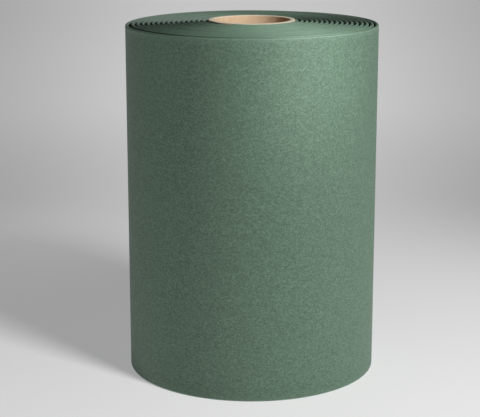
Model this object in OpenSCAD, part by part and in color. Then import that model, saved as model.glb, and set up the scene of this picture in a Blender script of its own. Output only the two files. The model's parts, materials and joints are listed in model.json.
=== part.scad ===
// Roll of granule-faced roofing felt, wound on a cardboard core and stood on end.
// The origin is on the core's axis, where the roll meets the floor. Millimetres, +Z up.

/* [Core tube] */
// Bore of the cardboard core
core_bore_d = 76; // [50:1:110]
// Wall of the core, a stack of glued paper plies
core_wall = 5; // [2:0.5:10]
// Length of core that stands above the first turn of felt
core_proud = 0.1; // [0:0.1:15]
// Radial play between the core and the first turn of felt
core_play = 0.2; // [0.1:0.05:0.5]

/* [Felt sheet] */
// Width of the sheet, which is the height of the roll at its last turn
sheet_w = 350; // [150:5:1000]
// Thickness of the sheet with its granules
sheet_t = 3.1; // [1.5:0.1:5]

/* [Winding] */
// Half-turns of sheet on the core
half_turns = 33; // [6:1:48]
// Air gap between one turn and the next
turn_gap = 1.9; // [0.5:0.05:4]
// Creep of the winding up the core, from its last half-turn to its first
creep = 3.2; // [0:0.1:4]
// Gap left under the free end of the sheet
tail_lift = 0.4; // [0.1:0.1:0.5]
// Depth to which the gaps between the turns are open at each end
gap_depth = 20; // [5:1:60]
// Bearing of the free end, anticlockwise from +X seen from above
tail_bearing = 65; // [0:5:355]

/* [Hidden] */
$fn = 180;

// Overrun of the bore's cut past both ends of the core
cut_over = 1;

pitch = sheet_t + turn_gap;
core_r = core_bore_d / 2 + core_wall;
first_r = core_r + core_play;
last = half_turns - 1;

// The last half-turn closes in on the turn below it, until only tail_lift is left under its end
tail_shift = (turn_gap - tail_lift) / 2;
tail_r = inner_r(last) - tail_shift;

// Inner radius of the sheet on half-turn k
function inner_r(k) = first_r + k * pitch / 2;

// Lift of half-turn k off the floor, by the creep of the winding
function lift(k) = creep * (last - k) / last;

// Half-turns run by turns round two centres half a pitch apart, so each meets the next smoothly
function is_odd(k) = k % 2;
function centre_x(k) = is_odd(k) * pitch / 2;

// Outermost half-turn on one side of the roll, the tail left out
function outermost(side) = last - 1 - is_odd(last - 1 - side);

// Places a half-turn, which starts on the local +X axis, on its own side and centre
module on_side(k) {
    translate([centre_x(k), 0, 0])
        rotate([0, 0, is_odd(k) * 180])
            children();
}

// Section of the sheet on half-turn k, with its inner face at radius r
module sheet_section(k, r) {
    translate([r, lift(k)])
        square([sheet_t, sheet_w]);
}

// Filling from half-turn k to the turn inside it, which leaves the gap between them open at both ends
module filling_section(k, r) {
    translate([r - turn_gap - sheet_t / 2, lift(k) + gap_depth])
        square([pitch, sheet_w - 2 * gap_depth]);
}

// Section of the turns on one side of the roll, the tail left out
module turns_section(side) {
    for (k = [side : 2 : outermost(side)])
        sheet_section(k, inner_r(k));
    for (k = [side + 2 : 2 : outermost(side)])
        filling_section(k, inner_r(k));
}

// Section of the last half-turn
module tail_section() {
    sheet_section(last, tail_r);
    filling_section(last, tail_r);
}

// The wound sheet, from its square end on the core to its free end outside
module felt_roll() {
    color("#5d8570")
        rotate([0, 0, tail_bearing - half_turns * 180]) {
            for (side = [0, 1])
                on_side(side)
                    rotate_extrude(angle = 180)
                        turns_section(side);
            on_side(last)
                translate([tail_shift, 0, 0])
                    rotate_extrude(angle = 180)
                        tail_section();
        }
}

// The cardboard tube that the sheet is wound on
module core_tube() {
    tube_h = sheet_w + creep + core_proud;
    color("#d9b48a")
        difference() {
            cylinder(h = tube_h, r = core_r);
            translate([0, 0, -cut_over])
                cylinder(h = tube_h + 2 * cut_over, d = core_bore_d);
        }
}

felt_roll();
core_tube();
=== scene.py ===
import json
from bisect import bisect_right
from math import copysign, cos, pi, radians, sin

import bmesh
import bpy
from mathutils import Matrix, Vector, noise


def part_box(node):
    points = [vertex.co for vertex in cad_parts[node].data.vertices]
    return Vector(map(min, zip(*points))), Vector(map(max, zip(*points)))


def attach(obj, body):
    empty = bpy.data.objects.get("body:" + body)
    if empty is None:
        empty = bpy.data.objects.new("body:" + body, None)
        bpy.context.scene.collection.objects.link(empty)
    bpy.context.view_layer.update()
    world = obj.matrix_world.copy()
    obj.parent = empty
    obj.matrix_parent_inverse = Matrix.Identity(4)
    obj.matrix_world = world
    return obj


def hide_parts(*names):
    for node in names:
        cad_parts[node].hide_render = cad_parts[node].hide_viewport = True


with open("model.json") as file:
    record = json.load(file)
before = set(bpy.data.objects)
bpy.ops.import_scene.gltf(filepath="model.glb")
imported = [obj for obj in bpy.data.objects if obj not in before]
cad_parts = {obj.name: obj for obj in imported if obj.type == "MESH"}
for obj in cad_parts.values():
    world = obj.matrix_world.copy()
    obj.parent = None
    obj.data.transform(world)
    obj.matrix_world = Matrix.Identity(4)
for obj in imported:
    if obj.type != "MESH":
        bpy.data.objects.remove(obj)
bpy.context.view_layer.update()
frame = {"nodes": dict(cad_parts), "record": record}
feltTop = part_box("felt_roll")[1].z
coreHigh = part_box("core_tube")[1]  # its upper corner gives the core's outside radius and its length
boreMount = next(m for m in frame["record"]["mounts"] if m["name"] == "core_bore")
boreRadius = boreMount["dims"]["r_mm"] / 1000
coreRadius = coreHigh.x
print("frame loaded:", ", ".join(sorted(frame["nodes"])))


class Wire:  # one output of a node, and Python maths on it adds Math nodes
    def __init__(self, finish, node, output=0):
        self.finish = finish
        self.node = node
        self.socket = node.outputs[output]

    def __getitem__(self, output):
        return Wire(self.finish, self.node, output)

    def maths(self, operation, *values):
        return self.finish.node("Math", {"operation": operation}, dict(enumerate(values)))

    def __add__(self, other):
        return self.maths("ADD", self, other)

    def __radd__(self, other):
        return self.maths("ADD", other, self)

    def __sub__(self, other):
        return self.maths("SUBTRACT", self, other)

    def __rsub__(self, other):
        return self.maths("SUBTRACT", other, self)

    def __mul__(self, other):
        return self.maths("MULTIPLY", self, other)

    def __rmul__(self, other):
        return self.maths("MULTIPLY", other, self)

    def __truediv__(self, other):
        return self.maths("DIVIDE", self, other)


class Finish:  # the nodes of one material, or of the world
    def __init__(self, owner):
        owner.use_nodes = True
        self.owner = owner
        self.tree = owner.node_tree

    def plug(self, socket, value):
        if isinstance(value, Wire):
            self.tree.links.new(value.socket, socket)
        else:
            socket.default_value = value

    def set(self, nodeName, sockets):  # values and links on a node that is already there
        for name, value in sockets.items():
            self.plug(self.tree.nodes[nodeName].inputs[name], value)

    def node(self, kind, settings=None, sockets=None, output=0):
        made = self.tree.nodes.new("ShaderNode" + kind)
        for name, value in (settings or {}).items():
            setattr(made, name, value)
        for name, value in (sockets or {}).items():
            self.plug(made.inputs[name], value)
        return Wire(self, made, output)

    def mixed(self, first, second, share):  # two colours
        return self.node("Mix", {"data_type": "RGBA"}, {0: share, 6: first, 7: second}, 2)

    def ranged(self, value, low, high, toLow=0.0, toHigh=1.0):  # a smooth step
        sockets = {0: value, 1: low, 2: high, 3: toLow, 4: toHigh}
        return self.node("MapRange", {"interpolation_type": "SMOOTHSTEP"}, sockets)


def newFinish(name):
    return Finish(bpy.data.materials.new(name))


# Camera, fitted to the rims and the sides of the roll in the 480 x 417 picture
photoView = {
    "away": 1.436,  # m, from the roll's axis
    "high": 0.5056,  # m, above the floor
    "tilt": 13.50,  # degrees below level
    "pan": 0.465,  # degrees to the left, which stands the roll right of the middle
    "lens": 108.6,  # mm, on a sensor 36 mm wide
}


def placeCamera(view):
    data = bpy.data.cameras.new("photoCamera")
    data.lens = view["lens"]
    camera = bpy.data.objects.new("photoCamera", data)
    camera.location = (0, -view["away"], view["high"])
    camera.rotation_euler = (radians(90 - view["tilt"]), 0, radians(view["pan"]))
    bpy.context.scene.collection.objects.link(camera)
    bpy.context.scene.camera = camera


placeCamera(photoView)
print("camera placed")


def addPiece(name, bm, finish, node):
    mesh = bpy.data.meshes.new(name)
    bm.to_mesh(mesh)
    bm.free()
    mesh.shade_smooth()
    mesh.materials.append(finish.owner)
    piece = bpy.data.objects.new(name, mesh)
    bpy.context.scene.collection.objects.link(piece)
    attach(piece, "root")
    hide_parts(node)
    print(name, "made:", len(mesh.polygons), "faces")
    return piece


def everything(bm):
    return bm.verts[:] + bm.edges[:] + bm.faces[:]


def ringAt(bm, where, facing):  # cuts a ring of edges through the whole mesh
    bmesh.ops.bisect_plane(bm, geom=everything(bm), plane_co=where, plane_no=facing)


# The felt: a flat strip is cut, softened at its edges and wound onto the core
feltSheet = {
    "thickness": 3.1e-3,  # m, with its granules
    "gap": 1.9e-3,  # air between one turn and the next
    "halfTurns": 33,
    "creep": 3.2e-3,  # rise of the winding, from its last turn to its first
    "play": 0.2e-3,  # between the core and the first turn
    "tailBearing": 65,  # degrees, of the free end at the back
    "tailLift": 0.4e-3,  # gap left under the free end
    "slack": 0.9e-3,  # by which the last turn lies looser than the rest
    "slackFrom": 1.0,  # turns from the free end, between which the slack comes in
    "slackTo": 1.18,
    "lastSag": 0.75e-3,  # by which the upper edge of the last turn sags, half a turn from its end
    "edgeRound": 1.35e-3,  # rounding of the cut edges
    "roundSteps": 5,
    "holdingLoop": 1.8e-3,  # ring of edges that keeps the rounding tight
    "rimBand": 8e-3,  # depth of the band along each cut edge that shows between the turns
    "rows": 11,  # the strip's length in the bake map, laid in rows
    "facesInRow": 181,
    "looseness": 0.25e-3,  # how far a turn strays from an even spiral
    "looseLength": 0.12,  # m of sheet over which it strays
    "settled": 0.25,  # m of sheet at each end that lies true
    "rimStray": 0.7e-3,  # how far the upper cut edge strays from level
    "rimLow": 0.3,  # share of the stray by which it lies low everywhere
    "rimWave": 0.5,  # share of the stray that comes and goes along it
    "rimLength": 0.16,  # m of sheet over which it comes and goes
    "wornBand": 2.2e-3,  # width of the band along a cut edge with worn granules and a painted highlight
}


def windingOf(sheet):  # half-turn arcs, by turns round two centres half a pitch apart
    pitch = sheet["thickness"] + sheet["gap"]
    angle = radians(sheet["tailBearing"]) - sheet["halfTurns"] * pi
    acrossCentres = Vector((cos(angle), sin(angle)))
    radius = coreRadius + sheet["play"] + sheet["thickness"] / 2
    start, arcs = 0.0, []
    for k in range(sheet["halfTurns"]):
        last = k == sheet["halfTurns"] - 1
        closing = last * (sheet["gap"] - sheet["tailLift"]) / 2  # the tail comes down on the turn below it
        shift = k % 2 * pitch / 2 + closing * (-1) ** k
        arcs.append((start, radius - closing, acrossCentres * shift, angle))
        start += pi * (radius - closing)
        radius += pitch / 2
        angle += pi
    return arcs, start


def flatStrip(sheet, length, width):  # x along the strip, y up its width, z out through its thickness
    bm = bmesh.new()
    lay = Matrix.Diagonal((length, width, 1, 1)) @ Matrix.Translation((0.5, 0.5, 0))
    faces = sheet["rows"] * sheet["facesInRow"]
    bmesh.ops.create_grid(bm, x_segments=faces, y_segments=1, size=0.5, matrix=lay)
    upper = bmesh.ops.extrude_face_region(bm, geom=bm.faces[:])["geom"]
    raised = [part for part in upper if isinstance(part, bmesh.types.BMVert)]
    bmesh.ops.translate(bm, vec=(0, 0, sheet["thickness"]), verts=raised)
    bmesh.ops.recalc_face_normals(bm, faces=bm.faces[:])
    for depth in (sheet["holdingLoop"], sheet["rimBand"]):
        ringAt(bm, (0, depth, 0), (0, 1, 0))
        ringAt(bm, (0, width - depth, 0), (0, 1, 0))
    square = [edge for edge in bm.edges if edge.calc_face_angle() > 1]
    bmesh.ops.bevel(bm, geom=square, offset=sheet["edgeRound"], offset_type="OFFSET", affect="EDGES",
                    segments=sheet["roundSteps"], profile=0.5, material=-1, clamp_overlap=True)
    bmesh.ops.translate(bm, vec=(0, 0, -sheet["thickness"] / 2), verts=bm.verts[:])
    return bm


def mapForBake(bm, sheet, length, width):
    # Rows of the strip share one map: the outside of the last row, which shows, takes most of it,
    # then the bands along both cut edges, and the faces hidden between the turns get thin stripes.
    layer = bm.loops.layers.uv.new("OFBake")
    band, rows = sheet["rimBand"], sheet["rows"]
    rowLength, halfRound = length / rows, band + sheet["thickness"] / 2
    shown, rims = 0.43, 0.53
    rimShare, hiddenShare = rims / (2 * rows), (1 - shown - rims) / (2 * rows)
    for face in bm.faces:
        centre = face.calc_center_median()
        row = min(int(centre.x / rowLength), rows - 1)
        inRim = min(centre.y, width - centre.y) < band
        outside = centre.z > 0
        for loop in face.loops:
            along, up, out = loop.vert.co
            if inRim:
                round_ = out + copysign(min(up, width - up), centre.z if abs(out) < 1e-9 else out)
                stripe = 2 * row + (centre.y > width / 2)
                v = shown + (stripe + (round_ / halfRound + 1) / 2) * rimShare
            elif outside and row == rows - 1:
                v = (up - band) / (width - 2 * band) * shown
            else:
                v = shown + rims + (2 * row + outside + (up - band) / (width - 2 * band)) * hiddenShare
            loop[layer].uv = (along / rowLength - row, v)


def slackAt(sheet, turnsLeft):  # the turns inside the last one draw in, evenly down to the core
    comesIn = (turnsLeft - sheet["slackFrom"]) / (sheet["slackTo"] - sheet["slackFrom"])
    comesIn = max(0.0, min(1.0, comesIn))
    inside = max(0.0, turnsLeft - sheet["slackTo"]) / (sheet["halfTurns"] / 2 - sheet["slackTo"])
    return sheet["slack"] * comesIn ** 2 * (3 - 2 * comesIn) * (1 - inside)


def windUp(bm, sheet, arcs, length, width):
    starts = [arc[0] for arc in arcs]
    for vert in bm.verts:
        along, up, out = vert.co
        halfTurn = max(bisect_right(starts, along) - 1, 0)
        start, radius, centre, angle = arcs[halfTurn]
        turn = (along - start) / radius
        turnsLeft = (sheet["halfTurns"] - halfTurn - turn / pi) / 2
        true = max(0.0, min(1.0, min(along, length - along) / sheet["settled"] - 0.5))
        loose = sheet["looseness"] * true * noise.noise((along / sheet["looseLength"], 0, 0))
        reach = radius + out + loose - slackAt(sheet, turnsLeft)
        wave = sheet["rimWave"] * noise.noise((along / sheet["rimLength"], 7, 0))
        drop = sheet["rimStray"] * (sheet["rimLow"] + wave)
        drop += sheet["lastSag"] * sin(pi * min(turnsLeft, 1.0)) ** 4
        rise = sheet["creep"] * turnsLeft * 2 / sheet["halfTurns"]
        x, y = centre.x + reach * cos(angle + turn), centre.y + reach * sin(angle + turn)
        vert.co = (x, y, rise + up * (1 - drop / width))


def markSides(bm, sheet, width):  # what the finish needs to know of each place on the sheet
    wornAndLit = bm.verts.layers.float.new("wornAndHighlitEdge")
    under = bm.verts.layers.float.new("undersideAndGapShade")
    for vert in bm.verts:
        depth = min(vert.co.y, width - vert.co.y)
        # 1 along a cut edge: worn granules there, and the painted highlight on the edge
        vert[wornAndLit] = max(0.0, 1 - depth / sheet["wornBand"])
        inward = -vert.co.z / (sheet["thickness"] / 2)  # from 0 on the middle of the cut edge to 1 inside
        # the inner face below the rounding takes the dark underside, which also paints the shade inside the
        # gaps
        vert[under] = max(0.0, inward) * (0.5 + 0.5 * (depth > sheet["edgeRound"]))


feltLook = {
    "grain": 820,  # granules to the metre
    "deep": (0.092, 0.157, 0.108, 1),
    "middle": (0.116, 0.197, 0.136, 1),
    "pale": (0.152, 0.250, 0.175, 1),
    "rubbed": (0.240, 0.374, 0.275, 1),  # lighter colour along a cut edge: worn granules, and a painted highlight where the rounded edge catches the light
    "cutBitumen": (0.180, 0.223, 0.196, 1),  # the inner side of a cut edge
    # near-black inner face of the sheet: dark bitumen, made darker still as painted shade in the gaps
    # between the turns
    "undersideAndGapShade": (0.011, 0.014, 0.012, 1),
    "shades": {"granule": 0.68, "dust": 0.25, "clump": 0.07},  # what a granule's tone is made of
    "toMiddle": (0.2, 0.5),  # tones between which deep turns to middle, and middle to pale
    "toPale": (0.5, 0.85),
    "mottle": 0.025,  # share of the colour that drifts over the sheet, in patches
    "patches": 22.0,  # to the metre
    "rubbing": 0.9,  # how far the cut edges take the lighter colour of worn granules and painted highlight
    "toBitumen": (0.1, 0.45),  # way from a cut edge's middle to its inner side, between which it turns
    "toUnderside": (0.5, 1.0),
    "roughness": 0.55,
    "unevenGloss": 0.16,
    "wornGloss": 0.2,  # by which the worn edges are smoother
    "gloss": 0.45,
    "relief": 0.55e-3,  # m, of the granules
    "heights": {"dome": 0.6, "granule": 0.35, "dust": 0.25},  # what the relief is made of
}


def greenFelt(look):
    felt = newFinish("greenFelt")
    place = felt.node("TexCoord")["Object"]
    granule = felt.node("TexVoronoi", {"feature": "F1"}, {"Vector": place, "Scale": look["grain"]})
    chance = felt.node("SeparateColor", {}, {"Color": granule["Color"]})  # random numbers for each granule
    dust = felt.node("TexNoise", {}, {"Vector": place, "Scale": look["grain"] * 2.3, "Detail": 3.0})
    clump = felt.node("TexNoise", {}, {"Vector": place, "Scale": look["grain"] / 5, "Detail": 2.0})
    patchy = {"Vector": place, "Scale": look["patches"], "Detail": 4.0, "Roughness": 0.6}
    drift = felt.node("TexNoise", {}, patchy)
    wornAndLit = felt.node("Attribute", {"attribute_name": "wornAndHighlitEdge"})["Fac"]
    under = felt.node("Attribute", {"attribute_name": "undersideAndGapShade"})["Fac"]
    # deep, middle and pale granules, drifting lighter and darker over the sheet
    shades = look["shades"]
    tone = chance["Red"] * shades["granule"] + dust * shades["dust"] + clump * shades["clump"]
    tone = tone + (drift - 0.5) * look["mottle"]
    colour = felt.mixed(look["deep"], look["middle"], felt.ranged(tone, *look["toMiddle"]))
    colour = felt.mixed(colour, look["pale"], felt.ranged(tone, *look["toPale"]))
    # cut edges lighter: worn granules, with a painted highlight on top
    colour = felt.mixed(colour, look["rubbed"], wornAndLit * look["rubbing"])
    colour = felt.mixed(colour, look["cutBitumen"], felt.ranged(under, *look["toBitumen"]))
    # inside the gaps the sheet turns near black: its dark underside, and painted shade of the gaps
    colour = felt.mixed(colour, look["undersideAndGapShade"], felt.ranged(under, *look["toUnderside"]))
    heights = look["heights"]
    height = (1 - granule["Distance"]) * heights["dome"] + chance["Green"] * heights["granule"]
    height = height + dust * heights["dust"]
    bump = felt.node("Bump", {}, {"Strength": 0.7, "Distance": look["relief"], "Height": height})
    roughness = look["roughness"] + (chance["Blue"] - 0.5) * look["unevenGloss"]
    felt.set("Principled BSDF", {
        "Base Color": colour,
        "Roughness": roughness - wornAndLit * look["wornGloss"],
        "Normal": bump,
        "Specular IOR Level": look["gloss"],
    })
    return felt


winding, feltLength = windingOf(feltSheet)
feltWidth = feltTop - feltSheet["creep"]
strip = flatStrip(feltSheet, feltLength, feltWidth)
mapForBake(strip, feltSheet, feltLength, feltWidth)
markSides(strip, feltSheet, feltWidth)
windUp(strip, feltSheet, winding, feltLength, feltWidth)
print("felt wound:", round(feltLength, 3), "m of sheet")
felt = addPiece("wound_felt", strip, greenFelt(feltLook), "felt_roll")


# The core: a section of the wall, spun round its axis
coreTube = {
    "edgeRound": 0.5e-3,  # m, of the cut ends
    "roundSteps": 3,
    "holdingLoop": 1.5e-3,
    "steps": 160,
}


def coreWall(tube, length):
    bm = bmesh.new()
    wall = coreRadius - boreRadius
    stand = Matrix.Translation((boreRadius + wall / 2, 0, length / 2)) @ Matrix.Rotation(pi / 2, 4, "X")
    section = stand @ Matrix.Diagonal((wall, length, 1, 1))
    bmesh.ops.create_grid(bm, x_segments=1, y_segments=1, size=0.5, matrix=section)
    bmesh.ops.bevel(bm, geom=bm.verts[:], offset=tube["edgeRound"], offset_type="OFFSET", affect="VERTICES",
                    segments=tube["roundSteps"], profile=0.5, material=-1)
    bmesh.ops.delete(bm, geom=bm.faces[:], context="FACES_ONLY")
    bmesh.ops.spin(bm, geom=bm.verts[:] + bm.edges[:], cent=(0, 0, 0), axis=(0, 0, 1), angle=2 * pi,
                   steps=tube["steps"], use_merge=True)
    for depth in (tube["holdingLoop"], length - tube["holdingLoop"]):
        ringAt(bm, (0, 0, depth), (0, 0, 1))
    bmesh.ops.recalc_face_normals(bm, faces=bm.faces[:])
    return bm


coreLook = {
    "kraft": (0.65, 0.48, 0.325, 1),
    "kraftDark": (0.54, 0.36, 0.215, 1),
    "cutEnd": (0.67, 0.62, 0.49, 1),
    "cutPly": (0.52, 0.44, 0.31, 1),
    "ply": 0.45e-3,  # m, thickness of one paper ply
    "lead": 0.15,  # m that a ply climbs in one turn round the core
    "seam": 0.004,  # share of a turn that the open seam takes
    "fibre": 700.0,  # fibres to the metre round the core
    "fibreStretch": 0.22,  # share of them to the metre along it, since they lie that way
    "cloud": 45.0,  # browner patches to the metre
    "cutBand": (0.2e-3, 0.7e-3),  # m from an end, between which the cut turns to paper
    "roughness": 0.72,
    "unevenGloss": 0.2,
    "gloss": 0.35,
    "relief": 0.25e-3,
}


def kraftBoard(look, length):
    board = newFinish("kraftBoard")
    place = board.node("TexCoord")["Object"]
    axes = board.node("SeparateXYZ", {}, {"Vector": place})
    flat = board.node("CombineXYZ", {}, {"X": axes["X"], "Y": axes["Y"]})
    radius = board.node("VectorMath", {"operation": "LENGTH"}, {0: flat}, "Value")
    bearing = axes.maths("ARCTAN2", axes["Y"], axes["X"]) / (2 * pi)
    # where a ply's edge meets the next, a helix climbs the wall
    climb = axes.maths("FRACT", axes["Z"] / look["lead"] + bearing + 1.0)
    seam = 1 - board.ranged(axes.maths("ABSOLUTE", climb - 0.5), look["seam"] / 2, look["seam"])
    fibre = board.node("Mapping", {}, {"Vector": place, "Scale": (1.0, 1.0, look["fibreStretch"])})
    grainy = {"Vector": fibre, "Scale": look["fibre"], "Detail": 4.0, "Roughness": 0.65}
    fibres = board.node("TexNoise", {}, grainy)
    cloud = board.node("TexNoise", {}, {"Vector": place, "Scale": look["cloud"], "Detail": 3.0})
    browned = board.ranged(fibres * 0.7 + cloud * 0.4, 0.4, 0.85)
    paper = board.mixed(look["kraft"], look["kraftDark"], browned)
    paper = board.mixed(paper, look["kraftDark"], seam * 0.7)
    # the cut ends are paler and show the plies as rings
    ring = axes.maths("PINGPONG", (radius - boreRadius) / look["ply"] + (fibres - 0.5) * 0.8, 1.0)
    cut = board.mixed(look["cutEnd"], look["cutPly"], board.ranged(ring, 0.55, 1.0) * 0.55)
    fromEnd = axes.maths("MINIMUM", axes["Z"], length - axes["Z"])
    colour = board.mixed(cut, paper, board.ranged(fromEnd, *look["cutBand"]))
    height = fibres * 0.5 - seam * 1.2 + ring * 0.15
    bump = board.node("Bump", {}, {"Strength": 0.5, "Distance": look["relief"], "Height": height})
    board.set("Principled BSDF", {
        "Base Color": colour,
        "Roughness": look["roughness"] + (fibres - 0.5) * look["unevenGloss"],
        "Normal": bump,
        "Specular IOR Level": look["gloss"],
    })
    return board


wall = coreWall(coreTube, coreHigh.z)
core = addPiece("cardboard_core", wall, kraftBoard(coreLook, coreHigh.z), "core_tube")


# A pale floor that fades to grey with distance, and soft light from the right.
# One lamp is for the felt, with a spot for its upper front, and one is for the floor and the core.
studio = {
    "floorRadius": 9.0,
    "paleFloor": (0.50, 0.50, 0.50, 1),
    "nearGlow": (0.33, 0.33, 0.33, 1),  # what the camera sees on the floor besides the light
    "dimFloor": (0.53, 0.53, 0.53, 1),  # the ring where the floor turns into backdrop
    "glow": (0.61, 0.61, 0.61, 1),
    "backdrop": (0.56, 0.56, 0.56, 1),
    "fanFrom": 1.44,  # m in front of the axis, from where the brighter middle fans out over the floor
    "fanSides": (0.03, 0.21),  # m to the side for each metre of depth, from bright to dim
    "fanBehind": (-0.3, 0.3),  # m behind the axis, between which the fan sets in
    "dimSides": 0.32,  # share of the light that the sides lose
    "fade": (0.3, 0.85, 1.7, 3.8),  # m from the axis: lit floor, dim ring, glow, backdrop
    "thrownUp": (0.56, 0.56, 0.56, 1),  # light that the floor throws up on the object
    "footprint": (0.10, 0.16),  # m from the axis, within which it is covered and throws none
    "skyLight": (0.02, 0.02, 0.02, 1),
    "wall": (0.41, 0.41, 0.41, 1),  # the backdrop past the floor
    "wallTop": 6,  # degrees up, where the backdrop has faded into the dark above it
}
softbox = {
    "place": (-30, 1.7, 1.45),  # degrees from +X, m from the axis, m up
    "aim": (0, 0.0, 0.176),
    "settings": {"shape": "DISK", "size": 0.5, "energy": 31.8},
}
floorLamp = {
    "place": (-49, 1.6, 1.35),
    "aim": (0, 0.0, 0.0),
    "settings": {"shape": "DISK", "size": 0.5, "energy": 46.0},
}
spotLamp = {
    "place": (-50, 1.1, 0.70),
    "aim": (-62, 0.122, 0.335),
    "scale": (0.42, 1, 1),  # a beam less than half as wide as it is high
    "settings": {"spot_size": radians(12.6), "spot_blend": 1.0, "shadow_soft_size": 0.06, "energy": 42.0},
}


def seenDirectly(finish):  # 1 where the camera looks, or sees it in a gloss or through glass
    path = finish.node("LightPath")
    return path["Is Camera Ray"] + path["Is Glossy Ray"] + path["Is Transmission Ray"]


def layFloor(set_):
    bm = bmesh.new()
    bmesh.ops.create_circle(bm, cap_ends=True, segments=96, radius=set_["floorRadius"])
    mesh = bpy.data.meshes.new("studioFloor")
    bm.to_mesh(mesh)
    bm.free()
    paint = newFinish("studioFloor")
    black = (0, 0, 0, 1)
    place = paint.node("TexCoord")["Object"]
    away = paint.node("VectorMath", {"operation": "LENGTH"}, {0: place}, "Value")
    seen = seenDirectly(paint)
    lit, dim, glow, back = set_["fade"]
    far = paint.ranged(away, lit, dim)
    shine = paint.mixed(set_["nearGlow"], set_["dimFloor"], far)
    shine = paint.mixed(shine, set_["glow"], paint.ranged(away, dim, glow))
    shine = paint.mixed(shine, set_["backdrop"], paint.ranged(away, glow, back))
    axes = paint.node("SeparateXYZ", {}, {"Vector": place})
    aside = axes.maths("ABSOLUTE", axes["X"]) / (axes["Y"] + set_["fanFrom"])
    aside = paint.ranged(aside, *set_["fanSides"]) * paint.ranged(axes["Y"], *set_["fanBehind"])
    shine = paint.mixed(shine, black, aside * far * set_["dimSides"])
    thrown = paint.mixed(black, set_["thrownUp"], paint.ranged(away, *set_["footprint"]))
    paint.set("Principled BSDF", {
        "Base Color": paint.mixed(set_["paleFloor"], black, far * seen),
        "Roughness": 0.9,
        "Specular IOR Level": 0.1,
        "Emission Color": paint.mixed(thrown, shine, seen),
        "Emission Strength": 1.0,
    })
    mesh.materials.append(paint.owner)
    floor = bpy.data.objects.new("studioFloor", mesh)
    bpy.context.scene.collection.objects.link(floor)
    return floor


def lightWalls(set_):
    world = bpy.data.worlds.new("studio")
    bpy.context.scene.world = world
    sky = Finish(world)
    up = sky.node("SeparateXYZ", {}, {"Vector": sky.node("TexCoord")["Generated"]})["Z"]
    wall = sky.ranged(up, 0.0, sin(radians(set_["wallTop"])), 1.0, 0.0)
    colour = sky.mixed(set_["skyLight"], set_["wall"], wall * seenDirectly(sky))
    sky.set("Background", {"Color": colour, "Strength": 1.0})


def around(bearing, away, high):
    return Vector((away * cos(radians(bearing)), away * sin(radians(bearing)), high))


def hangLamp(name, kind, lamp, lit):  # a lamp, and the pieces that it lights
    data = bpy.data.lights.new(name, kind)
    for setting, value in lamp["settings"].items():
        setattr(data, setting, value)
    hung = bpy.data.objects.new(name, data)
    hung.location = around(*lamp["place"])
    hung.scale = lamp.get("scale", (1, 1, 1))
    hung.rotation_mode = "QUATERNION"
    hung.rotation_quaternion = (hung.location - around(*lamp["aim"])).to_track_quat("Z", "Y")
    hung.visible_camera = False
    bpy.context.scene.collection.objects.link(hung)
    hung.light_linking.receiver_collection = bpy.data.collections.new(name)
    for piece in lit:
        hung.light_linking.receiver_collection.objects.link(piece)


floor = layFloor(studio)
lightWalls(studio)
hangLamp("softbox", "AREA", softbox, [felt])
hangLamp("spotLamp", "SPOT", spotLamp, [felt])
hangLamp("floorLamp", "AREA", floorLamp, [floor, core])
bpy.context.scene.view_settings.view_transform = "Standard"
print("studio set")
